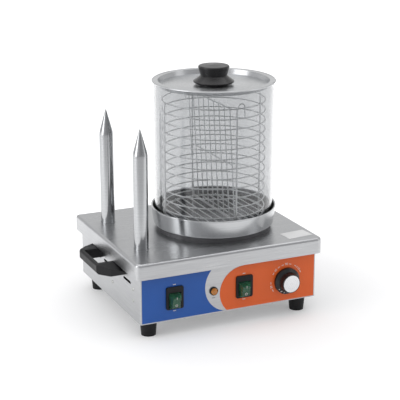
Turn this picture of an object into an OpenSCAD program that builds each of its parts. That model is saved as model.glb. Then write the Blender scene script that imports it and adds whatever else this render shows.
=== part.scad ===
// Table-top hot dog warmer: two heated bun spikes and a glass steamer cylinder on a steel case.
// Millimetres. X runs left to right, the controls face -Y, Z is up.
// The origin is on the floor under the middle of the deck.

/* [Deck] */
// Width of the deck, left to right
deck_w = 333; // [327:1:348]
// Depth of the deck, front to back
deck_d = 292; // [286:1:305]
// Height of the deck's top face above the floor
deck_top = 131.5; // [129:0.5:138]
// Height of the turned-down lip round the deck
lip_h = 26.4; // [22:0.1:27]
// Thickness of the deck sheet
deck_t = 1.2; // [1:0.1:1.5]
// Outer radius of the two front corners
front_corner_r = 10; // [8:0.5:14]
// Outer radius of the two rear corners
rear_corner_r = 6.5; // [6.2:0.1:8]
// Radius of the bend from the top face into the lip
edge_r = 5; // [4:0.1:6]

/* [Case] */
// Distance from the deck's edge to the case wall
wall_inset = 8.45; // [7:0.05:9.5]
// Thickness of the case sheet
case_t = 1; // [0.8:0.1:1.2]
// Corner radius of the case
case_corner_r = 2; // [1.6:0.1:3]
// Width of the case's lower flange
low_flange_w = 12; // [10:0.5:14]
// Width of the case's upper flange
top_flange_w = 10; // [8:0.5:12]
// Radius of the head of a cover screw
cover_head_r = 3.5; // [3:0.1:4]
// Thickness of the head of a cover screw
cover_head_h = 2; // [1.6:0.1:2.4]

/* [Side vents and rivets] */
// Length of a vent slot
vent_len = 32; // [26:1:36]
// Height of a vent slot
vent_h = 4.6; // [3:0.1:5]
// Distance from one vent slot to the next
vent_pitch = 45.5; // [42:0.5:47]
// Distance of the front vent slot's middle from the panel
vent_in = 56.5; // [52:0.5:62]
// Depth of the row of vent slots under the deck's top face
vent_drop = 46.5; // [45:0.5:50]
// Radius of a rivet head
rivet_r = 2.8; // [2:0.1:3.2]
// Thickness of a rivet head
rivet_h = 1.2; // [0.8:0.1:1.6]
// Height of the lower rivets over the feet
rivet_low_up = 31.9; // [26:0.1:37]
// Height of the upper rivet over the lower ones
rivet_step = 19.1; // [16:0.1:19.5]
// Distance of the front rivets from the panel
rivet_front_in = 30.5; // [26:0.5:33]
// Place of the middle rivet along the case
rivet_mid_y = -13.7; // [-20:0.1:-8]

/* [Feet] */
// Height of a foot
foot_h = 26.5; // [22:0.5:30]
// Radius of a foot where it meets the case
foot_top_r = 14.3; // [13:0.1:15.5]
// Radius of a foot on the floor
foot_low_r = 12; // [10:0.1:12.5]
// Distance of a foot's middle from the case's edges
foot_inset = 22.4; // [21:0.1:25]
// Height of the screw seat inside a foot
foot_seat_h = 14; // [10:0.5:16]

/* [Handles] */
// Reach of a handle out from the case wall
handle_reach = 39; // [36:0.5:44]
// Gap between a handle's top and the deck's lip
handle_drop = 0.5; // [0.3:0.1:2]
// Height of a handle's grip
handle_h = 16.4; // [14:0.1:16.8]
// Length of a handle along the case wall
handle_foot_len = 160; // [150:1:170]
// Length of a handle where its arms turn
handle_knee_len = 124; // [118:1:130]
// Length of a handle's straight grip
handle_grip_len = 82; // [78:1:88]
// Length of the finger gap
finger_len = 68; // [60:1:72]
// Thickness of the grip bar
grip_t = 6; // [5:0.1:8]
// Middle of the handles along the case
handle_y = -3; // [-8:0.5:2]
// Distance between the two screws of a handle
handle_screw_pitch = 104; // [96:1:110]

/* [Control panel] */
// Thickness of the coloured films on the panel
film_t = 0.25; // [0.15:0.05:0.4]
// Height of the middle of the switches' frames over the feet
switch_up = 38.6; // [36:0.1:41]
// Distance of the left switch's middle from the case's left wall
switch_in = 58.85; // [54.5:0.05:63.5]
// Place of the right switch, right of the panel's middle
switch_right_x = 24.8; // [20:0.1:30]
// Width of a switch's frame
switch_w = 30; // [28:0.1:31]
// Height of a switch's frame
switch_h = 38; // [36:0.1:40]
// Thickness of a switch's frame
switch_t = 2.8; // [2:0.1:3.2]
// Depth of a switch behind the panel
switch_depth = 24; // [20:0.5:30]
// Width of a rocker
rocker_w = 21; // [19:0.1:22]
// Height of a rocker
rocker_h = 25; // [23:0.1:26]
// How far a level rocker's face stands out of the panel
rocker_out = 10.2; // [8:0.1:11]
// How far a rocker's middle lies below its frame's middle
rocker_drop = 4.1; // [3.6:0.1:4.4]
// Tilt of a rocker at rest, lower half pressed in
rocker_tilt = 10; // [6:0.5:11]
// Place of the pilot lamp
lamp_x = -30; // [-32:0.5:-28]
// Radius of the pilot lamp's rim
lamp_rim_r = 7.15; // [6.6:0.05:7.6]
// Distance of the thermostat knob's axis from the case's right wall
knob_in = 55.05; // [50.5:0.05:59.5]
// Height of the thermostat knob's axis over the feet
knob_up = 36.5; // [34:0.1:40]
// Radius of the knob's skirt
knob_r = 22.5; // [21.5:0.1:23.5]
// Radius of the knob's grip
knob_grip_r = 17; // [16.5:0.1:18]
// How far the knob stands out of the panel
knob_out = 19.8; // [18:0.1:22]
// Radius of the knob's cap
knob_cap_r = 14.5; // [13.5:0.1:15]
// Radius of the thermostat's shaft
shaft_r = 3; // [2.8:0.05:3.2]

/* [Bun spikes] */
// Radius of a spike
spike_r = 12; // [11:0.1:12.6]
// Height of a spike above the deck
spike_h = 198; // [180:1:210]
// Length of a spike's pointed end
spike_tip_h = 40; // [34:0.5:46]
// Radius of the round from a spike's shaft into its point
shoulder_r = 36; // [24:1:44]
// Distance of both spikes from the deck's left edge
spike_in_x = 38.5; // [36.5:0.5:41.5]
// Distance of the rear spike from the deck's rear edge
spike_rear_in = 62; // [58:0.5:66]
// Distance of the front spike from the deck's front edge
spike_front_in = 76; // [72:0.5:80]
// Radius of a spike's threaded end under the deck
spike_stud_r = 8; // [7:0.1:8.5]

/* [Steamer] */
// Distance of the steamer's axis from the deck's right edge
steamer_in = 136.5; // [132.5:0.5:138.5]
// Place of the steamer's axis, behind the deck's middle
steamer_y = -7; // [-9:0.5:-3]
// How far the pan's foot reaches past the hot plate
plate_in = 5.1; // [4.5:0.1:8]
// Thickness of the hot plate
plate_h = 7.7; // [7.4:0.1:9]
// Radius of the heating element's ring
element_r = 62; // [58:0.5:70]
// Radius of the heating element's tube
element_tube_r = 2.9; // [2.5:0.1:3]
// Reach of the pan's rim past the glass
pan_reach = 6; // [5.5:0.1:8]
// Reach of the pan's wall past the glass, at its foot
pan_low_reach = 2.6; // [2.4:0.1:3]
// Height of the pan
pan_h = 31.1; // [28:0.1:33]
// Thickness of the pan's sheet
pan_t = 1; // [0.8:0.1:1.1]
// Radius of the bend at the pan's foot
pan_bend_r = 3.5; // [3:0.1:3.6]
// Radius of the glass cylinder
glass_r = 100; // [98:0.1:100.2]
// Thickness of the glass
glass_t = 3.5; // [3:0.1:4]
// Height of the glass cylinder
glass_h = 242.3; // [236:0.1:250]

/* [Lid] */
// How far the lid reaches past the glass
lid_reach = 3; // [2:0.1:3.2]
// Thickness of the lid's sheet
lid_t = 0.9; // [0.8:0.1:1]
// Depth of the dish pressed into the lid
dish_depth = 7.8; // [7:0.1:9]
// Room between the glass and the dish at its top
dish_room = 3.5; // [2.5:0.1:5]
// Slope of the dish's wall, from its top in to its floor
dish_slope = 3; // [2.5:0.1:6]
// Radius of the lid knob's skirt
lid_skirt_r = 34; // [31:0.1:36]
// Radius of the lid knob's waist
lid_waist_r = 22.3; // [21:0.1:23]
// Radius of the lid knob's head
lid_head_r = 26; // [25:0.1:28]
// Height of the lid knob
lid_knob_h = 33; // [30:0.1:36]
// Height of the foot that the lid knob stands on
lid_foot_h = 3.4; // [2.6:0.1:4.2]

/* [Basket] */
// Room between the glass and the middle of the basket's ring wires
ring_room = 10.5; // [9.5:0.1:12]
// Thickness of a ring wire
ring_wire_d = 2; // [1.6:0.1:2.4]
// Thickness of a standing rod
rod_d = 3; // [2.6:0.1:3.4]
// Number of ring wires
ring_count = 12; // [10:1:12]
// Depth of the top ring wire under the glass's top
ring_top_room = 30.9; // [28:0.1:40]
// Height of the lowest ring wire over the pan's floor
ring_low_h = 29.5; // [27:0.1:31]
// Height of the basket's floor wires over the pan's floor
floor_h = 21; // [18:0.1:21.5]
// Distance between the floor wires
floor_pitch = 13; // [11:0.1:14]
// Thickness of a floor wire
floor_wire_d = 2; // [1.6:0.1:2.2]
// Number of standing wires in the divider
divider_count = 9; // [7:1:11]
// Thickness of a divider wire
divider_wire_d = 2; // [1.6:0.1:2.4]
// Rise of the divider's top over the top ring
divider_rise = 1; // [-8:0.1:3]
// Lean of the divider to the left
divider_lean = 3; // [0:0.5:4]

/* [Inside] */
// Width of the terminal block
block_w = 60; // [54:1:64]
// Depth of the terminal block
block_d = 22; // [20:1:26]
// Height of the terminal block
block_h = 16; // [12:0.5:18]
// Distance of the terminal block's middle from the case's left wall
block_in_x = 63; // [59.5:0.5:66.5]
// Distance of the terminal block's middle from the case's rear wall
block_in_y = 77.5; // [73:0.5:80]
// Radius of the cable gland's bore
gland_bore_r = 4.2; // [3.5:0.1:4.6]
// Distance of the cable gland from the case's left wall
gland_in_x = 48; // [45.5:0.5:67.5]
// Height of the cable gland over the feet
gland_up = 25.5; // [22:0.5:32]
// Radius of an inner wire
wire_r = 1.2; // [0.8:0.1:1.4]

/* [Label] */
// Width of the bare label
label_w = 46; // [40:1:48]
// Depth of the bare label
label_d = 30; // [26:1:32]
// Distance of the label's middle from the deck's right edge
label_in_x = 32.5; // [29.5:0.5:34.5]
// Distance of the label's middle from the deck's front edge
label_in_y = 34; // [31:0.5:36]
// Turn of the label on the deck
label_turn = 6; // [0:1:7]

/* [Hidden] */
$fn = 96;

// Gap between pieces that lift or turn apart
gap = 0.3;
// Radial clearance of a turning fit
fit = 0.05;
// Radial clearance of a screw or stud in its hole
slack = 0.25;
// Overrun of every cut
over = 1;
// The ball where the element turns down is this much bigger than its tube
knuckle_share = 1.12;
// Steel of the case, the black plastic and the other colours
steel = "#C4C5C6";
wire_steel = "#B9BBBD";
black = "#1A181A";

// Case, derived from the deck
case_w = deck_w - 2 * wall_inset;
case_d = deck_d - 2 * wall_inset;
wall_x = case_w / 2;
wall_y = case_d / 2;
cover_z = foot_h;
case_z = cover_z + case_t;
under_deck = deck_top - deck_t;
lip_z = deck_top - lip_h;
vent_y = -wall_y + vent_in;
vent_z = deck_top - vent_drop;
rivet_low_z = foot_h + rivet_low_up;
rivet_high_z = rivet_low_z + rivet_step;
rivet_front_y = -wall_y + rivet_front_in;
handle_z = lip_z - handle_drop - handle_h;
switch_z = foot_h + switch_up;
switch_left_x = -wall_x + switch_in;
knob_x = wall_x - knob_in;
knob_z = foot_h + knob_up;
block_x = -wall_x + block_in_x;
block_y = wall_y - block_in_y;
gland_x = -wall_x + gland_in_x;
gland_z = foot_h + gland_up;

// Places on the deck
spike_x = -deck_w / 2 + spike_in_x;
spike_rear_y = deck_d / 2 - spike_rear_in;
spike_front_y = -deck_d / 2 + spike_front_in;
steamer_x = deck_w / 2 - steamer_in;

// Steamer, derived radii and heights
glass_in_r = glass_r - glass_t;
pan_r = glass_r + pan_reach;
pan_low_r = glass_r + pan_low_reach;
plate_r = pan_low_r - plate_in;
dish_r = glass_in_r - dish_room;
dish_floor_r = dish_r - dish_slope;
ring_r = glass_in_r - ring_room;
plate_top = deck_top + plate_h;
pan_z = plate_top + gap;
pan_floor = pan_z + pan_t;
glass_z = pan_floor + gap;
glass_top = glass_z + glass_h;
lid_z = glass_top + gap;
lid_top = lid_z + lid_t;
dish_floor = lid_top - dish_depth;

// Screws
foot_screw_r = 2.5;
foot_head_r = 5;
foot_head_h = 3.5;
foot_nut_r = 4.6;
foot_nut_h = 4;
foot_screw_past = 2;
cover_screw_r = 1.75;
cover_screw_in = 6;
cover_screw_past = 5.5;
cover_screw_x = 80;
rivet_shank_r = 1.6;
rivet_tail_h = 2;
handle_screw_r = 1.9;
handle_head_r = 4.2;
handle_head_h = 2.6;
handle_screw_in = 12;
handle_chamfer = 2.5;
handle_tip_h = 2;

module at_steamer(z) { translate([steamer_x, steamer_y, z]) children(); }

// A shape drawn with +Z as the way out of the panel, put on the panel's face at x and z
module on_panel(x, z) { translate([x, -wall_y, z]) rotate([90, 0, 0]) children(); }

// A plate outline with four round corners
module round_rect(w, d, r) {
    square([w - 2 * r, d], center = true);
    square([w, d - 2 * r], center = true);
    for (x = [-1, 1], y = [-1, 1]) translate([x * (w / 2 - r), y * (d / 2 - r)]) circle(r);
}

module slot(len, h) {
    square([len - h, h], center = true);
    for (x = [-1, 1]) translate([x * (len - h) / 2, 0]) circle(h / 2);
}

module hex(r, h, bore) {
    difference() {
        cylinder(r = r, h = h, $fn = 6);
        translate([0, 0, -over]) cylinder(r = bore, h = h + 2 * over);
    }
}

// A pan-head screw with its head's seat at z = 0 and its shank going up
module screw(head_r, head_h, r, len) {
    translate([0, 0, -head_h]) cylinder(r1 = head_r * screw_crown_share, r2 = head_r, h = head_h);
    cylinder(r = r, h = len);
}
screw_crown_share = 0.8;

// Both side walls: children are drawn with +Z as the way out of the wall, X along the case
module on_sides() {
    for (s = [-1, 1]) translate([s * wall_x, 0, 0]) rotate([90, 0, s * 90]) mirror([s < 0 ? 1 : 0, 0, 0])
        children();
}

// Deck

// The deck's outline: round corners at the front, tighter ones at the back
module deck_outline(w, d, rf, rb) {
    translate([-w / 2 + rf, -d / 2]) square([w - 2 * rf, d / 2]);
    translate([-w / 2 + rb, 0]) square([w - 2 * rb, d / 2]);
    translate([-w / 2, -d / 2 + rf]) square([w, d - rf - rb]);
    for (x = [-1, 1]) {
        translate([x * (w / 2 - rf), -d / 2 + rf]) circle(rf);
        translate([x * (w / 2 - rb), d / 2 - rb]) circle(rb);
    }
}

// A quarter of the bend round a corner of radius r
module corner_bend(r, e) {
    rotate_extrude(angle = 90) {
        square([r - e, e]);
        intersection() {
            translate([r - e, 0]) circle(e);
            translate([r - e, 0]) square(e);
        }
    }
}

module deck_solid(w, d, h, rf, rb, e) {
    linear_extrude(h - e) deck_outline(w, d, rf, rb);
    translate([0, 0, h - e]) {
        linear_extrude(e) deck_outline(w - 2 * e, d - 2 * e, rf - e, rb - e);
        translate([-w / 2 + rf, -d / 2 + e, 0]) rotate([0, 90, 0]) cylinder(r = e, h = w - 2 * rf);
        translate([-w / 2 + rb, d / 2 - e, 0]) rotate([0, 90, 0]) cylinder(r = e, h = w - 2 * rb);
        for (x = [-1, 1]) {
            translate([x * (w / 2 - e), -d / 2 + rf, 0]) rotate([-90, 0, 0]) cylinder(r = e, h = d - rf - rb);
            translate([x * (w / 2 - rf), -d / 2 + rf, 0]) rotate([0, 0, x < 0 ? 180 : 270]) corner_bend(rf, e);
            translate([x * (w / 2 - rb), d / 2 - rb, 0]) rotate([0, 0, x < 0 ? 90 : 0]) corner_bend(rb, e);
        }
    }
}

module deck_tray() {
    color(steel) difference() {
        translate([0, 0, lip_z]) deck_solid(deck_w, deck_d, lip_h, front_corner_r, rear_corner_r, edge_r);
        translate([0, 0, lip_z - over])
            deck_solid(deck_w - 2 * deck_t, deck_d - 2 * deck_t, lip_h - deck_t + over,
                front_corner_r - deck_t, rear_corner_r - deck_t, edge_r - deck_t);
        for (y = [spike_rear_y, spike_front_y]) translate([spike_x, y, under_deck - over])
            cylinder(r = spike_stud_r + slack, h = deck_t + 2 * over);
        at_steamer(under_deck - over) {
            cylinder(r = stud_r + slack, h = deck_t + 2 * over);
            element_places() cylinder(r = element_tube_r + over, h = deck_t + 2 * over);
        }
    }
}

module label_plate() {
    color("#F1F1EF") translate([deck_w / 2 - label_in_x, label_in_y - deck_d / 2, deck_top])
        rotate([0, 0, label_turn]) linear_extrude(film_t) round_rect(label_w, label_d, label_corner_r);
}
label_corner_r = 1.5;

// Case

module housing() {
    color(steel) difference() {
        translate([0, 0, case_z]) linear_extrude(under_deck - case_z) round_rect(case_w, case_d, case_corner_r);
        translate([0, 0, case_z + case_t]) linear_extrude(under_deck - case_z - 2 * case_t)
            round_rect(case_w - 2 * case_t, case_d - 2 * case_t, case_corner_r - case_t);
        translate([0, 0, case_z - over]) linear_extrude(case_t + 2 * over)
            square([case_w - 2 * low_flange_w, case_d - 2 * low_flange_w], center = true);
        translate([0, 0, under_deck - case_t - over]) linear_extrude(case_t + 2 * over)
            square([case_w - 2 * top_flange_w, case_d - 2 * top_flange_w], center = true);
        cover_screw_places() translate([0, 0, -over]) cylinder(r = cover_screw_r + slack, h = 2 * case_t + 2 * over);
        panel_holes(case_t);
        on_sides() translate([0, 0, -case_t - over]) linear_extrude(case_t + 2 * over) {
            for (i = [0 : 3]) translate([vent_y + i * vent_pitch, vent_z]) slot(vent_len, vent_h);
            for (p = rivet_places) translate(p) circle(rivet_shank_r + slack);
            for (s = [-1, 1]) translate([handle_y + s * handle_screw_pitch / 2, handle_screw_z])
                circle(handle_screw_r + slack);
        }
        translate([gland_x, wall_y - case_t - over, gland_z]) rotate([-90, 0, 0])
            cylinder(r = gland_body_r + slack, h = case_t + 2 * over);
    }
}

// Everything that passes through the front wall; t is the thickness that it passes
module panel_holes(t) {
    for (x = [switch_left_x, switch_right_x]) on_panel(x, switch_z) translate([0, 0, -t - over])
        linear_extrude(t + 2 * over) square([switch_hole_w, switch_hole_h], center = true);
    on_panel(lamp_x, switch_z) translate([0, 0, -t - over])
        cylinder(r = lamp_tube_r + slack, h = t + 2 * over);
    on_panel(knob_x, knob_z) translate([0, 0, -t - over]) {
        cylinder(r = nose_r + slack, h = t + 2 * over);
        for (s = [-1, 1]) translate([s * stat_screw_x, 0, 0]) cylinder(r = stat_screw_r + slack, h = t + 2 * over);
    }
}

module bottom_cover() {
    color(steel) difference() {
        translate([0, 0, cover_z]) linear_extrude(case_t) round_rect(case_w, case_d, case_corner_r);
        cover_screw_places() translate([0, 0, -over]) cylinder(r = cover_screw_r + slack, h = case_t + 2 * over);
        foot_places() translate([0, 0, cover_z - over]) cylinder(r = foot_screw_r + slack, h = case_t + 2 * over);
    }
}

module cover_screw_places() {
    for (y = [-1, 1], x = [-1, 1]) translate([x * cover_screw_x, y * (wall_y - cover_screw_in), cover_z]) children();
    for (x = [-1, 1]) translate([x * (wall_x - cover_screw_in), 0, cover_z]) children();
}

module cover_screws() {
    color(wire_steel) cover_screw_places()
        screw(cover_head_r, cover_head_h, cover_screw_r, 2 * case_t + cover_screw_past);
}

// The two films meet the steel crescent between two arcs
film_edge = 0.7;
film_under = 7;
film_top = lip_z + film_under;
blue_arc_x = 0.3;
blue_arc_r = 45.5;
blue_arc_z = foot_h + blue_arc_r;
orange_arc_in = 0.9;
orange_arc_up = 32;
orange_arc_x = switch_right_x - orange_arc_in;
orange_arc_r = 42.8;
orange_arc_z = foot_h + orange_arc_up;

module film(x0, x1) {
    translate([x0, case_z + film_edge]) square([x1 - x0, film_top - case_z - film_edge]);
}

module blue_film() {
    color("#325A9B") difference() {
        on_panel(0, 0) linear_extrude(film_t) difference() {
            film(film_edge - wall_x + case_corner_r, blue_arc_x);
            translate([blue_arc_x, blue_arc_z]) circle(blue_arc_r);
        }
        panel_holes(case_t);
    }
}

module orange_film() {
    color("#C56038") difference() {
        on_panel(0, 0) linear_extrude(film_t) {
            film(orange_arc_x, wall_x - case_corner_r - film_edge);
            intersection() {
                film(orange_arc_x - orange_arc_r, orange_arc_x + over);
                translate([orange_arc_x, orange_arc_z]) circle(orange_arc_r);
            }
        }
        panel_holes(case_t);
    }
}

rivet_places = [[rivet_mid_y, rivet_low_z], [rivet_front_y, rivet_low_z], [rivet_front_y, rivet_high_z]];

module side_rivets() {
    color(wire_steel) on_sides() for (p = rivet_places) translate(p) {
        cylinder(r1 = rivet_r, r2 = rivet_r * rivet_crown_share, h = rivet_h);
        translate([0, 0, -case_t]) cylinder(r = rivet_shank_r, h = case_t + rivet_h);
        translate([0, 0, -case_t - rivet_tail_h]) cylinder(r = rivet_r * rivet_crown_share, h = rivet_tail_h);
    }
}
rivet_crown_share = 0.6;

// Feet

module foot_places() {
    for (x = [-1, 1], y = [-1, 1]) translate([x * (wall_x - foot_inset), y * (wall_y - foot_inset), 0]) children();
}

module foot(x, y) {
    color(black) translate([x * (wall_x - foot_inset), y * (wall_y - foot_inset), 0]) difference() {
        cylinder(r1 = foot_low_r, r2 = foot_top_r, h = foot_h);
        translate([0, 0, -over]) cylinder(r = foot_head_r + over, h = foot_seat_h + over);
        cylinder(r = foot_screw_r + slack, h = foot_h + over);
    }
}

module foot_front_left() { foot(-1, -1); }
module foot_front_right() { foot(1, -1); }
module foot_rear_left() { foot(-1, 1); }
module foot_rear_right() { foot(1, 1); }

module foot_screws() {
    color(wire_steel) foot_places() translate([0, 0, foot_seat_h])
        screw(foot_head_r, foot_head_h, foot_screw_r,
            case_z - foot_seat_h + foot_nut_h + foot_screw_past);
}

module foot_nuts() {
    color(wire_steel) foot_places() translate([0, 0, case_z]) hex(foot_nut_r, foot_nut_h, foot_screw_r + slack / 2);
}

// Handles

handle_screw_share = 0.45;
handle_screw_z = handle_z + handle_h * handle_screw_share;
handle_tip_share = 0.5;
handle_tip_z = handle_h * handle_tip_share;

// Plan of a handle: X along the case, Y out of the wall
module handle_plan() {
    difference() {
        polygon([[-handle_foot_len / 2, 0], [-handle_knee_len / 2, handle_reach * knee_share],
            [-handle_grip_len / 2, handle_reach], [handle_grip_len / 2, handle_reach],
            [handle_knee_len / 2, handle_reach * knee_share], [handle_foot_len / 2, 0]]);
        translate([-finger_len / 2, -over]) square([finger_len, handle_reach - grip_t + over]);
    }
}
knee_share = 0.56;

// Side view of a handle: the feet taper to the wall at both ends
module handle_side() {
    polygon([[-handle_foot_len / 2, handle_tip_z], [-handle_knee_len / 2, 0], [handle_knee_len / 2, 0],
        [handle_foot_len / 2, handle_tip_z], [handle_foot_len / 2, handle_tip_z + handle_tip_h],
        [handle_grip_len / 2, handle_h], [-handle_grip_len / 2, handle_h],
        [-handle_foot_len / 2, handle_tip_z + handle_tip_h]]);
}

// End view of a handle: the grip's outer edges are bevelled
module handle_end() {
    polygon([[0, 0], [handle_reach - handle_chamfer, 0], [handle_reach, handle_chamfer],
        [handle_reach, handle_h - handle_chamfer], [handle_reach - handle_chamfer, handle_h], [0, handle_h]]);
}

module handle() {
    difference() {
        intersection() {
            linear_extrude(handle_h) handle_plan();
            translate([0, handle_reach + over, 0]) rotate([90, 0, 0])
                linear_extrude(handle_reach + 2 * over) handle_side();
            translate([-handle_foot_len / 2 - over, 0, 0]) rotate([90, 0, 90])
                linear_extrude(handle_foot_len + 2 * over) handle_end();
        }
        for (s = [-1, 1]) translate([s * handle_screw_pitch / 2, -over, handle_screw_z - handle_z])
            rotate([-90, 0, 0]) cylinder(r = handle_screw_r + slack / 2, h = handle_screw_in + 2 * over);
    }
}

module handle_right() { color(black) translate([wall_x, handle_y, handle_z]) rotate([0, 0, -90]) handle(); }
module handle_left() { mirror([1, 0, 0]) handle_right(); }

module handle_screws() {
    color(wire_steel) on_sides() for (s = [-1, 1])
        translate([handle_y + s * handle_screw_pitch / 2, handle_screw_z, -case_t])
            screw(handle_head_r, handle_head_h, handle_screw_r, case_t + handle_screw_in);
}

// Hot plate and its clamp

stud_r = 4;
stud_in = 2.5;
groove_h = element_tube_r * 2 + gap;
element_leg_share = 0.14;
element_z = deck_top + element_tube_r + gap / 2;
element_drop = 18.3;
element_low = under_deck - element_drop;
element_tip_r = 1.5;
element_tip_h = 8;
bridge_len = 140;
bridge_w = 30;
bridge_t = 2.5;
bridge_drop = 15.3;
nut_r = 7.5;
nut_h = 6.5;
stud_past = 3.5;

module element_places() {
    for (s = [-1, 1]) translate([s * element_r * element_leg_share, element_leg_y, 0]) children();
}
element_leg_y = element_r * sqrt(1 - element_leg_share * element_leg_share);

module hot_plate() {
    color("#2A2A2C") at_steamer(deck_top) difference() {
        cylinder(r = plate_r, h = plate_h);
        translate([0, 0, -over]) cylinder(r = stud_r + slack, h = plate_h - stud_in + over);
        rotate_extrude() translate([element_r - element_tube_r - gap, -over])
            square([2 * (element_tube_r + gap), groove_h + over]);
    }
}

module heating_element() {
    color("#6E6A66") {
        at_steamer(element_z) rotate([0, 0, 90 + element_half])
            rotate_extrude(angle = 360 - 2 * element_half) translate([element_r, 0]) circle(element_tube_r);
        at_steamer(0) element_places() {
            translate([0, 0, element_z]) sphere(element_tube_r * knuckle_share);
            translate([0, 0, element_low]) cylinder(r = element_tube_r, h = element_z - element_low);
            translate([0, 0, element_low - element_tip_h]) cylinder(r = element_tip_r, h = element_tip_h + over);
        }
    }
}
element_half = asin(element_leg_share);

bridge_z = under_deck - bridge_drop;
module clamp_bridge() {
    color(wire_steel) at_steamer(bridge_z) difference() {
        translate([-bridge_len / 2, -bridge_w / 2, 0]) cube([bridge_len, bridge_w, bridge_drop]);
        translate([-bridge_len / 2 + bridge_t, -bridge_w / 2 - over, bridge_t])
            cube([bridge_len - 2 * bridge_t, bridge_w + 2 * over, bridge_drop]);
        translate([0, 0, -over]) cylinder(r = stud_r + slack, h = bridge_t + 2 * over);
    }
}

module clamp_nut() { color(wire_steel) at_steamer(bridge_z - nut_h) hex(nut_r, nut_h, stud_r + slack / 2); }

stud_low = bridge_z - nut_h - stud_past;
module plate_stud() {
    color(wire_steel) at_steamer(stud_low) cylinder(r = stud_r, h = plate_top - stud_in - gap - stud_low);
}

// Water pan

pan_bead_r = 1.5;

// Half section of the pan's outer skin, grown inwards by t
module pan_half(t) {
    low = pan_low_r - t;
    bend = pan_bend_r - t;
    translate([0, t]) square([low - bend, pan_h]);
    translate([low - bend, pan_bend_r]) circle(bend);
    polygon([[0, pan_bend_r], [low, pan_bend_r], [pan_r - t, pan_h], [0, pan_h]]);
}

module water_pan() {
    color(steel) at_steamer(pan_z) rotate_extrude() {
        difference() {
            pan_half(0);
            pan_half(pan_t);
            translate([0, pan_h]) square([pan_r, pan_r]);
            translate([0, pan_t]) square([pan_low_r - pan_bend_r, pan_h + over]);
        }
        translate([pan_r - pan_bead_r, pan_h - pan_bead_r]) circle(pan_bead_r);
    }
}

// Spikes

spike_bore_r = 9;
spike_floor = 3;
spike_collar_reach = 0.7;
spike_collar_h = 1.4;
spike_point_r = 0.8;
spike_stud_len = 21.5;
lead_past = 10;
lead_bore_r = 4;
heater_len = 140;
lead_r = 2.5;
spike_nut_r = 13;
spike_nut_h = 6;

// Half section of the pointed end, with its rounded shoulder
tip_slope = atan((spike_r - spike_point_r) / spike_tip_h);
shoulder_z = spike_h - spike_tip_h - shoulder_r * tan(tip_slope / 2);
shoulder_steps = 8;
module spike_point_half() {
    polygon(concat(
        [[0, shoulder_z]],
        [for (i = [0 : shoulder_steps]) let (a = tip_slope * i / shoulder_steps)
            [spike_r - shoulder_r * (1 - cos(a)), shoulder_z + shoulder_r * sin(a)]],
        [[spike_point_r, spike_h], [0, spike_h]]));
}

module spike(y) {
    color(steel) translate([spike_x, y, deck_top]) difference() {
        union() {
            cylinder(r = spike_r + spike_collar_reach, h = spike_collar_h);
            cylinder(r = spike_r, h = shoulder_z);
            rotate_extrude() spike_point_half();
            translate([0, 0, -spike_stud_len]) cylinder(r = spike_stud_r, h = spike_stud_len + over);
        }
        translate([0, 0, spike_floor]) cylinder(r = spike_bore_r, h = heater_len + spike_floor);
        translate([0, 0, -spike_stud_len - over]) cylinder(r = lead_bore_r, h = spike_stud_len + spike_floor + 2 * over);
    }
}

module spike_rear() { spike(spike_rear_y); }
module spike_front() { spike(spike_front_y); }

lead_low = deck_top - spike_stud_len - lead_past;
module spike_heater(y) {
    color("#8D8A84") translate([spike_x, y, 0]) {
        translate([0, 0, deck_top + spike_floor + gap]) cylinder(r = spike_bore_r - gap, h = heater_len);
        translate([0, 0, lead_low]) cylinder(r = lead_r, h = deck_top + spike_floor + 2 * over - lead_low);
    }
}

module spike_heater_rear() { spike_heater(spike_rear_y); }
module spike_heater_front() { spike_heater(spike_front_y); }

module spike_nuts() {
    color(wire_steel) for (y = [spike_rear_y, spike_front_y])
        translate([spike_x, y, under_deck - spike_nut_h]) hex(spike_nut_r, spike_nut_h, spike_stud_r + slack / 2);
}

// Glass and lid

glass_edge = 0.8;

module glass_cylinder() {
    color("#DDE4E6", 0.35) at_steamer(glass_z) rotate_extrude() translate([glass_r - glass_t, 0])
        polygon([[glass_edge, 0], [glass_t - glass_edge, 0], [glass_t, glass_edge],
            [glass_t, glass_h - glass_edge], [glass_t - glass_edge, glass_h],
            [glass_edge, glass_h], [0, glass_h - glass_edge], [0, glass_edge]]);
}

lid_r = glass_r + lid_reach;
lid_bead_r = 1.1;
lid_screw_r = 2.5;
lid_screw_head_r = 4.8;
lid_screw_head_h = 3;
washer_r = 9;
washer_t = 1.2;
lid_screw_in = 16;

module lid() {
    color(steel) at_steamer(lid_top) difference() {
        union() {
            rotate_extrude()
                polygon([[0, -dish_depth], [dish_floor_r, -dish_depth], [dish_r, 0], [lid_r - lid_bead_r, 0],
                    [lid_r - lid_bead_r, -lid_t], [dish_r + lid_t, -lid_t],
                    [dish_floor_r + lid_t, -dish_depth - lid_t], [0, -dish_depth - lid_t]]);
            rotate_extrude() translate([lid_r - lid_bead_r, -lid_t / 2]) circle(lid_bead_r);
        }
        translate([0, 0, -dish_depth - lid_t - over]) cylinder(r = lid_screw_r + slack, h = lid_t + 2 * over);
    }
}

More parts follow.
